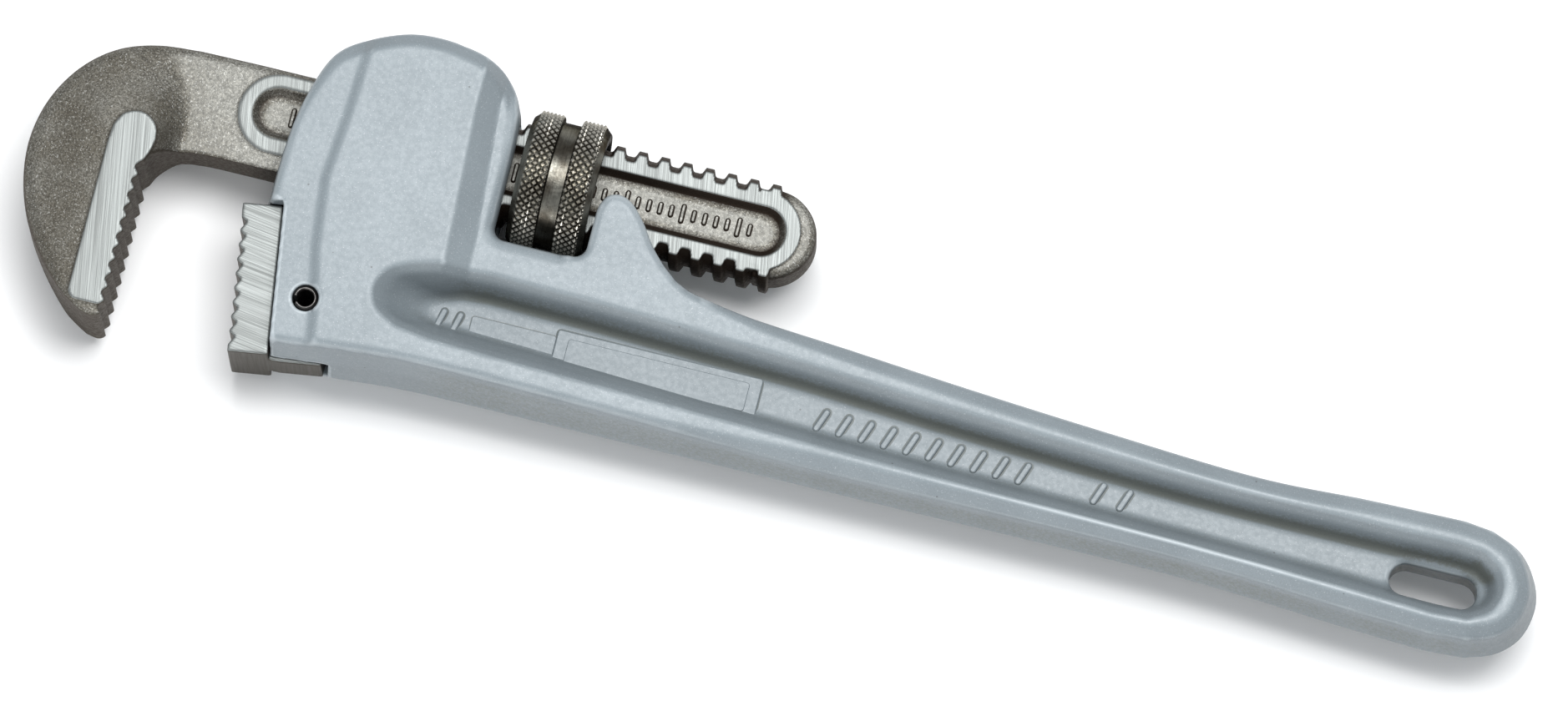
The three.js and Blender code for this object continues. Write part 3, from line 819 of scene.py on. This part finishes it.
def make_pin(material):
    """The rolled tube, with a slit and chamfered ends."""
    slit, slit_side = math.radians(20), math.radians(200)
    lower = [
        (PIN_BORE, -PIN_HALF + 0.2), (PIN_BORE + 0.2, -PIN_HALF),
        (PIN_RADIUS - 0.45, -PIN_HALF), (PIN_RADIUS, -PIN_HALF + 0.7),
    ]
    section = lower + [(r, -z) for r, z in lower[::-1]]
    angles = np.linspace(slit, FULL_TURN - slit, 49) + slit_side
    rows = [
        [(PIN_CENTRE[0] + r * math.cos(a), PIN_CENTRE[1] + r * math.sin(a), z) for r, z in section]
        for a in angles
    ]
    piece = swept_run("roll_pin", rows, material)
    flat_edges(piece, 30)
    recalculate(piece)
    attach(piece, "housing")
    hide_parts("heel_jaw_pin")


def make_coil(material):
    """The compression spring under the leaf spring, as round wire."""
    turns, wire, mean = 5, 0.45, 2.5
    bottom, top = -26.2, -15.9
    t = np.linspace(0, 1, turns * 28 + 1)
    a = t * turns * FULL_TURN
    path = np.column_stack([SPRING_X + mean * np.cos(a), bottom + t * (top - bottom), mean * np.sin(a)])
    tangent = np.gradient(path, axis=0)
    tangent /= np.linalg.norm(tangent, axis=1)[:, None]
    outward = np.column_stack([np.cos(a), np.zeros(len(a)), np.sin(a)])
    upward = np.cross(tangent, outward)
    sides = 12
    around = np.arange(sides)[None, :, None] * FULL_TURN / sides
    round_wire = np.cos(around) * outward[:, None] + np.sin(around) * upward[:, None]
    piece = swept_run("coil_spring_wire", path[:, None] + wire * round_wire, material)
    recalculate(piece)
    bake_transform(piece)
    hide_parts("coil_spring")


# -------- raised marks


def rounded_outline(centre, half_width, half_height, radius, turn, inset=0.0):
    """A rounded rectangle, turned about its centre by an angle in degrees."""
    w, h = half_width - radius, half_height - radius
    r = radius - inset
    corners = ((w, h, 0), (-w, h, 90), (-w, -h, 180), (w, -h, 270))
    points = np.vstack([arc(cx, cy, r, start, start + 90, 4) for cx, cy, start in corners])
    c, s = math.cos(math.radians(turn)), math.sin(math.radians(turn))
    return points @ np.array([[c, s], [-s, c]]) + np.array(centre)


def raised_marks(name, marks, floor, material):
    """Plates and bars that stand on a floor at that height, on both sides of the piece, as one mesh.

    Each mark is (centre, half width, half height, corner radius, turn, rise, edge).
    """
    vertices, faces, hollow = [], [], []
    for centre, half_width, half_height, radius, turn, rise, edge in marks:
        for side in (1, -1):
            foot, wall = 1.2 * edge, rise - edge
            sunk = 0.5
            skirt = [(-foot, floor - sunk), (-foot, floor + 0.02), (-0.1 * foot, floor + 0.35 * wall)]
            top = [(0, floor + wall), (0.35 * edge, floor + rise - 0.35 * edge), (edge, floor + rise)]
            levels = skirt + top
            start = len(vertices)
            count = 0
            for n, (inset, z) in enumerate(levels):
                ring = rounded_outline(centre, half_width, half_height, radius, turn, inset)
                count = len(ring)
                vertices += [(x, y, side * z) for x, y in ring]
                # The skirt's high hollow number gives painted shade round each mark's foot.
                hollow += [0.8 if n < len(skirt) else 0.5] * count
            for level in range(len(levels) - 1):
                for i in range(count):
                    k = (i + 1) % count
                    a = start + level * count
                    faces.append([a + i, a + k, a + count + k, a + count + i][::side])
            faces.append(list(range(start, start + count))[::-side])
            last = start + (len(levels) - 1) * count
            faces.append(list(range(last, last + count))[::side])
    piece = mesh_object(name, vertices, faces, material)
    note(piece, {"hollow": hollow, "edge": [0.5] * len(vertices)})
    flat_edges(piece, 20)
    return piece


def make_web_marks(material):
    """A blank badge, a blank size plate, and slanted ribs on the web."""
    badge, plate = (31.7, -37.1), (-1.2, -36.6)
    marks = [
        (badge, 23.3, 4.9, 0.7, 0, 0.6, 0.25),
        (badge, 20.6, 3.3, 0.7, 0, 0.8, 0.15),
        (plate, 9.6, 2.8, 0.6, 0, 0.25, 0.15),
    ]
    for x in (-17.5, -13.8):
        marks.append(((x, -36.4), 0.7, 2.7, 0.7, -14, 0.8, 0.3))
    rib_row = np.arange(69.5, 120.5, 5.1)
    last_pair = (132.5, 138.5)
    for x in (*rib_row, *last_pair):
        line_y = -36.89 - 0.017 * x
        marks.append(((x, line_y), 0.75, 2.9, 0.75, -20, 0.7, 0.35))
    piece = raised_marks("web_marks", marks, WEB_HALF, material)
    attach(piece, "housing")


def make_scale_marks(material):
    """A plain graduated scale in the shank's panels, two marks to a thread pitch."""
    first, spacing, half_width = -60.5, THREAD_PITCH / 2, 0.4
    marks = []
    for i in range(42):
        half_height = 2.1 if i % 5 == 0 else 1.3
        centre = (first + i * spacing, -0.2)
        marks.append((centre, half_width, half_height, half_width, 0, 0.6, 0.2))
    piece = raised_marks("scale_marks", marks, PANEL_FLOOR, material)
    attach(piece, "hook")


# -------- materials


class Nodes:
    """Short calls for the shader nodes that the materials share."""

    def __init__(self, name):
        self.material = bpy.data.materials.new(name)
        self.material.use_nodes = True
        self.tree = self.material.node_tree
        self.tree.nodes.clear()
        self.shader = self.tree.nodes.new("ShaderNodeBsdfPrincipled")
        output = self.tree.nodes.new("ShaderNodeOutputMaterial")
        self.tree.links.new(self.shader.outputs["BSDF"], output.inputs["Surface"])
        self.place = self.tree.nodes.new("ShaderNodeTexCoord").outputs["Object"]

    def feed(self, value, socket):
        if isinstance(value, bpy.types.NodeSocket):
            self.tree.links.new(value, socket)
        else:
            socket.default_value = value

    def streaks(self, degrees, length, width):
        """Noise drawn out along a direction in the XY plane, in metres."""
        node = self.tree.nodes.new("ShaderNodeMapping")
        node.vector_type = "TEXTURE"
        self.feed(self.place, node.inputs["Vector"])
        node.inputs["Rotation"].default_value = (0, 0, math.radians(degrees))
        node.inputs["Scale"].default_value = (length, width, length)
        return self.noise(1.0, 3, 0.6, node.outputs[0])

    def noise(self, scale, detail=3.0, rough=0.5, vector=None):
        node = self.tree.nodes.new("ShaderNodeTexNoise")
        self.feed(vector or self.place, node.inputs["Vector"])
        node.inputs["Scale"].default_value = scale
        node.inputs["Detail"].default_value = detail
        node.inputs["Roughness"].default_value = rough
        return node.outputs["Fac"]

    def cells(self, scale):
        """Distance to the nearest of many scattered points."""
        node = self.tree.nodes.new("ShaderNodeTexVoronoi")
        self.feed(self.place, node.inputs["Vector"])
        node.inputs["Scale"].default_value = scale
        return node.outputs["Distance"]

    def math(self, operation, a, b=0.0):
        node = self.tree.nodes.new("ShaderNodeMath")
        node.operation = operation
        self.feed(a, node.inputs[0])
        self.feed(b, node.inputs[1])
        return node.outputs[0]

    def times(self, *values):
        """The product of two or more numbers."""
        product = values[0]
        for value in values[1:]:
            product = self.math("MULTIPLY", product, value)
        return product

    def spread(self, value, low, high, to_low=0.0, to_high=1.0):
        """Smoothly from to_low where value is low to to_high where it is high."""
        node = self.tree.nodes.new("ShaderNodeMapRange")
        node.interpolation_type = "SMOOTHSTEP"
        self.feed(value, node.inputs["Value"])
        limits = {"From Min": low, "From Max": high, "To Min": to_low, "To Max": to_high}
        for key, number in limits.items():
            node.inputs[key].default_value = number
        return node.outputs[0]

    def blend(self, amount, a, b):
        node = self.tree.nodes.new("ShaderNodeMix")
        node.data_type = "RGBA"
        self.feed(amount, node.inputs["Factor"])
        self.feed(a, node.inputs["A"])
        self.feed(b, node.inputs["B"])
        return node.outputs["Result"]

    def mixed(self, kind, amount, a, b):
        """A blend of two numbers (kind Float) or two normals (kind Vector)."""
        node = self.tree.nodes.new("ShaderNodeMix")
        node.data_type = kind.upper()
        sockets = {s.identifier: s for s in node.inputs}
        self.feed(amount, sockets["Factor_Float"])
        self.feed(a, sockets["A_" + kind])
        self.feed(b, sockets["B_" + kind])
        return next(s for s in node.outputs if s.identifier == "Result_" + kind)

    def shade(self, colour, amount):
        """colour made lighter or darker by a number socket."""
        node = self.tree.nodes.new("ShaderNodeVectorMath")
        node.operation = "SCALE"
        self.feed(colour, node.inputs[0])
        self.feed(amount, node.inputs["Scale"])
        return node.outputs[0]

    def attribute(self, name):
        node = self.tree.nodes.new("ShaderNodeAttribute")
        node.attribute_name = name
        return node.outputs["Fac"]

    def coordinate(self, axis):
        node = self.tree.nodes.new("ShaderNodeSeparateXYZ")
        self.feed(self.place, node.inputs[0])
        return node.outputs[axis]

    def towards(self, axis):
        """How much the surface faces along an axis of the piece, from -1 to 1."""
        node = self.tree.nodes.new("ShaderNodeSeparateXYZ")
        coordinates = self.tree.nodes.new("ShaderNodeTexCoord")
        self.feed(coordinates.outputs["Normal"], node.inputs[0])
        return node.outputs[axis]

    def facing(self, axis):
        """How much the surface faces along an axis of the piece, either way."""
        return self.math("ABSOLUTE", self.towards(axis))

    def along(self):
        """Distance along the shank from the middle of the wrench frame, in metres."""
        return self.math("SUBTRACT", self.coordinate("X"), float(ORIGIN[0]))

    def height(self):
        """Distance from mid-thickness, in metres."""
        return self.math("ABSOLUTE", self.math("SUBTRACT", self.coordinate("Z"), float(ORIGIN[2])))

    def bump(self, height, distance, strength=1.0, normal=None):
        node = self.tree.nodes.new("ShaderNodeBump")
        self.feed(height, node.inputs["Height"])
        node.inputs["Distance"].default_value = distance
        node.inputs["Strength"].default_value = strength
        if normal is not None:
            self.feed(normal, node.inputs["Normal"])
        return node.outputs[0]

    def finish(self, colour, roughness, metallic, normal=None):
        self.feed(colour, self.shader.inputs["Base Color"])
        self.feed(roughness, self.shader.inputs["Roughness"])
        self.feed(metallic, self.shader.inputs["Metallic"])
        if normal is not None:
            self.feed(normal, self.shader.inputs["Normal"])
        return self.material


def rgb(red, green, blue):
    """A colour from its 0 to 255 screen values."""

    def linear(v):
        v /= 255
        return v / 12.92 if v <= 0.04045 else ((v + 0.055) / 1.055) ** 2.4

    return (linear(red), linear(green), linear(blue), 1.0)


def painted_alloy():
    """Cool grey paint with fine painted glints, lighter on edges by a painted highlight, painted shade on
    slopes and on the web, and olive painted shade in the recess.
    """
    n = Nodes("painted_alloy")
    cloud = n.spread(n.noise(60, 3), 0.35, 0.65)
    colour = n.blend(cloud, rgb(122, 131, 136), rgb(127, 136, 141))
    speckle = n.spread(n.noise(2400, 2, 0.6), 0.36, 0.66, 0.96, 1.04)
    colour = n.shade(colour, speckle)
    # Painted glints: small bright specks in the paint.
    glint_fleck = n.spread(n.noise(3400, 1, 0.5), 0.66, 0.74, 0, 0.4)
    colour = n.blend(glint_fleck, colour, rgb(190, 194, 197))
    # Painted highlight: lighter along convex edges.
    edge = n.spread(n.attribute("edge"), 0.45, 0.37, 0, 0.4)
    colour = n.blend(edge, colour, rgb(196, 204, 208))
    # Painted shade: darker where the surface slopes away from facing up.
    colour = n.shade(colour, n.spread(n.facing("Z"), 0.72, 0.97, 0.84, 1.05))
    # Painted shade: darker down on the web, between the flanges.
    web = n.spread(n.height(), (WEB_HALF + 4) * MM, (WEB_HALF + 1) * MM, 0, 0.2)
    colour = n.blend(web, colour, rgb(84, 91, 94))

    # Olive painted shade in the recess: on its walls that face away from the shank and in its corners.
    grit = n.spread(n.noise(1500, 2, 0.6), 0.3, 0.7, -0.03, 0.03)
    hollow = n.math("ADD", n.attribute("hollow"), grit)
    from_shank = n.spread(n.towards("Y"), -0.2, -0.6)
    past_head = n.spread(n.along(), -24 * MM, -8 * MM)
    wall = n.times(n.spread(hollow, 0.45, 0.58), from_shank, past_head, 0.55)
    corner = n.spread(hollow, 0.58, 0.78, 0, 0.4)
    colour = n.blend(n.math("MAXIMUM", wall, corner), colour, rgb(76, 75, 57))
    dot = n.spread(n.cells(170), 0.045, 0.03, 0, 0.6)
    colour = n.blend(dot, colour, rgb(70, 72, 72))

    roughness = n.spread(n.noise(900, 2), 0.3, 0.7, 0.40, 0.48)
    peel = n.bump(n.noise(420, 3, 0.55), 0.00008, 0.4)
    grain = n.bump(n.noise(1900, 2, 0.5), 0.00004, 0.4, peel)
    return n.finish(colour, roughness, 0.05, grain)


def ground_grain(n, degrees):
    """Fine grinding lines: their noise and the bright steel colour they leave."""
    fine = n.streaks(degrees, 0.02, 0.00018)
    broad = n.streaks(degrees, 0.03, 0.00036)
    grain = n.math("ADD", n.math("MULTIPLY", fine, 0.7), n.math("MULTIPLY", broad, 0.3))
    colour = n.blend(n.spread(grain, 0.34, 0.64), rgb(100, 103, 102), rgb(126, 130, 129))
    return grain, colour


def forged_colour(n):
    """Grey-brown scale with painted glints, painted shade on sides, in teeth and in corners, lighter on the
    shank.
    """
    hollow = n.attribute("hollow")
    height = n.height()
    x = n.along()
    cloud = n.spread(n.noise(70, 4, 0.6), 0.35, 0.68)
    colour = n.blend(cloud, rgb(98, 95, 87), rgb(126, 125, 119))
    grit = n.spread(n.noise(2300, 3, 0.7), 0.35, 0.7, 0.5, 1.5)
    colour = n.shade(colour, grit)
    # Painted glints: bright specks in the scale.
    painted_glint = n.spread(n.noise(2700, 1, 0.5), 0.6, 0.7, 0, 0.7)
    colour = n.blend(painted_glint, colour, rgb(186, 186, 182))
    # Painted shade on the sides, darker as the surface turns away from facing up.
    side_shade = n.spread(n.facing("Z"), 0.75, 0.3, 0, 0.85)
    colour = n.blend(side_shade, colour, rgb(46, 37, 30))
    # Painted shade on the thread's flanks, which face away from the flats.
    after_start = n.spread(x, (THREAD_START - 2) * MM, (THREAD_START + 1) * MM)
    before_end = n.spread(x, (THREAD_END + 1.7) * MM, (THREAD_END - 1.3) * MM)
    thread_shade = n.times(after_start, before_end, n.spread(n.facing("Z"), 0.93, 0.8))
    colour = n.blend(thread_shade, colour, rgb(42, 34, 28))
    # Painted shade in corners and creases.
    colour = n.blend(n.spread(hollow, 0.55, 0.68, 0, 0.9), colour, rgb(40, 29, 21))
    low = n.spread(height, (SHANK_HALF + 0.6) * MM, (SHANK_HALF - 1) * MM, 0, 0.5)
    low = n.times(low, n.spread(n.facing("Z"), 0.93, 0.99), n.spread(hollow, 0.56, 0.51))
    colour = n.blend(low, colour, rgb(158, 158, 153))
    raised = n.spread(height, (SHANK_HALF + 1) * MM, (BOSS_HALF - 1.5) * MM, 0, 0.35)
    return n.blend(raised, colour, rgb(66, 60, 49))


def ground_places(n):
    """1 on the forging's ground faces: the boss along the teeth and the flats of the shank."""
    height = n.height()
    on_boss = n.spread(height, (BOSS_HALF - 0.3) * MM, (BOSS_HALF - 0.15) * MM)
    at_face = n.spread(height, (SHANK_HALF - 0.2) * MM, (SHANK_HALF - 0.1) * MM)
    below = n.spread(height, (SHANK_HALF + 0.3) * MM, (SHANK_HALF + 0.1) * MM)
    past_hook = n.spread(n.along(), -74.5 * MM, -73.5 * MM)
    either = n.math("MAXIMUM", on_boss, n.times(at_face, below, past_hook))
    return n.times(either, n.spread(n.facing("Z"), 0.6, 0.8))


def forging():
    n = Nodes("dark_forging")
    ground = ground_places(n)
    grain, bright = ground_grain(n, 100)
    colour = n.blend(ground, forged_colour(n), bright)
    rough_black = n.spread(n.noise(1100, 2), 0.3, 0.7, 0.44, 0.62)
    rough_bright = n.spread(grain, 0.3, 0.7, 0.46, 0.36)
    roughness = n.mixed("Float", ground, rough_black, rough_bright)
    blast = n.bump(n.noise(2100, 3, 0.65), 0.00014, 0.9)
    lines = n.bump(grain, 0.00003, 0.35)
    normal = n.mixed("Vector", ground, blast, lines)
    n.shader.inputs["Specular Tint"].default_value = (0.6, 0.57, 0.53, 1)
    return n.finish(colour, roughness, 0.55, normal)


def ground_steel():
    n = Nodes("ground_steel")
    grain, bright = ground_grain(n, -8)
    face = n.spread(n.facing("Z"), 0.5, 0.75)
    brown = n.blend(n.noise(500, 3), rgb(44, 41, 36), rgb(66, 63, 57))
    colour = n.blend(face, brown, bright)
    # Painted shade in the roots between the teeth.
    root_shade = n.spread(n.attribute("hollow"), 0.56, 0.75, 0, 0.7)
    colour = n.blend(root_shade, colour, rgb(40, 34, 29))
    roughness = n.spread(grain, 0.3, 0.7, 0.46, 0.36)
    n.shader.inputs["Specular Tint"].default_value = (0.6, 0.58, 0.55, 1)
    return n.finish(colour, roughness, 0.55, n.bump(grain, 0.00003, 0.35))


def dark_nut_steel():
    n = Nodes("dark_knurled_steel")
    crest = n.attribute("crest")
    colour = n.blend(n.spread(n.noise(160, 3), 0.35, 0.65), rgb(70, 66, 59), rgb(112, 111, 104))
    # Painted shade in the knurl's valleys and in the thread inside.
    colour = n.blend(n.spread(crest, 0.3, 0.1, 0, 0.9), colour, rgb(8, 6, 5))
    # Painted highlight on the knurl's crests.
    colour = n.blend(n.spread(crest, 0.6, 0.95, 0, 0.9), colour, rgb(196, 192, 182))
    lines = n.streaks(90, 0.004, 0.00025)
    colour = n.shade(colour, n.spread(lines, 0.3, 0.7, 0.8, 1.2))
    roughness = n.spread(n.noise(1500, 2), 0.3, 0.7, 0.26, 0.40)
    n.shader.inputs["Specular Tint"].default_value = (0.12, 0.1, 0.08, 1)
    return n.finish(colour, roughness, 0.95, n.bump(n.noise(2600, 2), 0.00004, 0.5))


def spring_steel():
    n = Nodes("spring_steel")
    colour = n.blend(n.noise(400, 3), rgb(58, 56, 55), rgb(104, 102, 100))
    return n.finish(colour, n.spread(n.noise(1200, 2), 0.3, 0.7, 0.28, 0.45), 0.9)


# -------- stage, light and camera


def floor_material():
    n = Nodes("pale_floor")
    tone = n.spread(n.noise(9, 2), 0.3, 0.7, 0.97, 1.0)
    return n.finish(n.shade((0.9, 0.9, 0.9), tone), 0.9, 0.0)


def make_floor():
    side = 3.0
    bpy.ops.mesh.primitive_plane_add(size=side, location=(0, 0, 0))
    floor = bpy.context.object
    floor.name = "floor"
    floor.data.materials.append(floor_material())


def area_light(name, place, aim, size, power):
    data = bpy.data.lights.new(name, "AREA")
    data.shape = "RECTANGLE"
    data.size, data.size_y = size
    data.energy = power
    lamp = bpy.data.objects.new(name, data)
    bpy.context.scene.collection.objects.link(lamp)
    lamp.location = place
    direction = Vector(aim) - Vector(place)
    lamp.rotation_euler = direction.to_track_quat("-Z", "Y").to_euler()


def make_lights():
    world = bpy.data.worlds.new("studio")
    world.use_nodes = True
    background = world.node_tree.nodes["Background"]
    background.inputs["Color"].default_value = (0.94, 0.97, 1.0, 1)
    background.inputs["Strength"].default_value = 0.5
    bpy.context.scene.world = world
    area_light("key", (0.1, 0.3, 1.3), (0.02, 0, 0), (1.0, 0.55), 20)
    area_light("fill", (-0.3, -1.1, 0.4), (0, 0, 0), (1.0, 0.5), 6)


def make_camera():
    """The camera looks almost straight down, a little from the heel jaw's side, and is turned."""
    distance = 2.8
    tilt = math.radians(12)
    turn = math.radians(14.1)
    view_width = 0.34586
    aim_x, aim_y = 0.0574, -0.0237
    sensor = 36.0
    data = bpy.data.cameras.new("camera")
    data.sensor_width = sensor
    data.lens = sensor * distance / view_width
    data.clip_end = 10
    camera = bpy.data.objects.new("camera", data)
    bpy.context.scene.collection.objects.link(camera)
    right = Vector((math.cos(turn), math.sin(turn), 0))
    level_up = Vector((-math.sin(turn), math.cos(turn), 0))
    back = Vector((0, 0, 1)) * math.cos(tilt) - level_up * math.sin(tilt)
    up = back.cross(right)
    aim = Vector((ORIGIN[0] + aim_x, ORIGIN[1] + aim_y, ORIGIN[2]))
    matrix = Matrix((right, up, back)).transposed().to_4x4()
    matrix.translation = aim + back * distance
    camera.matrix_world = matrix
    bpy.context.scene.camera = camera


def dress_cad_nodes(steel):
    """The leaf spring and its rivet keep their own meshes."""
    for name in ("flat_spring", "spring_rivet"):
        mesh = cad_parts[name].data
        mesh.materials.clear()
        mesh.materials.append(steel)


steel = spring_steel()
paint = painted_alloy()
black = forging()
make_housing(paint)
make_web_marks(paint)
make_hook(black)
make_scale_marks(black)
make_heel(ground_steel())
make_nut(dark_nut_steel())
make_pin(steel)
make_coil(steel)
dress_cad_nodes(steel)
make_floor()
make_lights()
make_camera()
bpy.context.scene.view_settings.view_transform = "Standard"
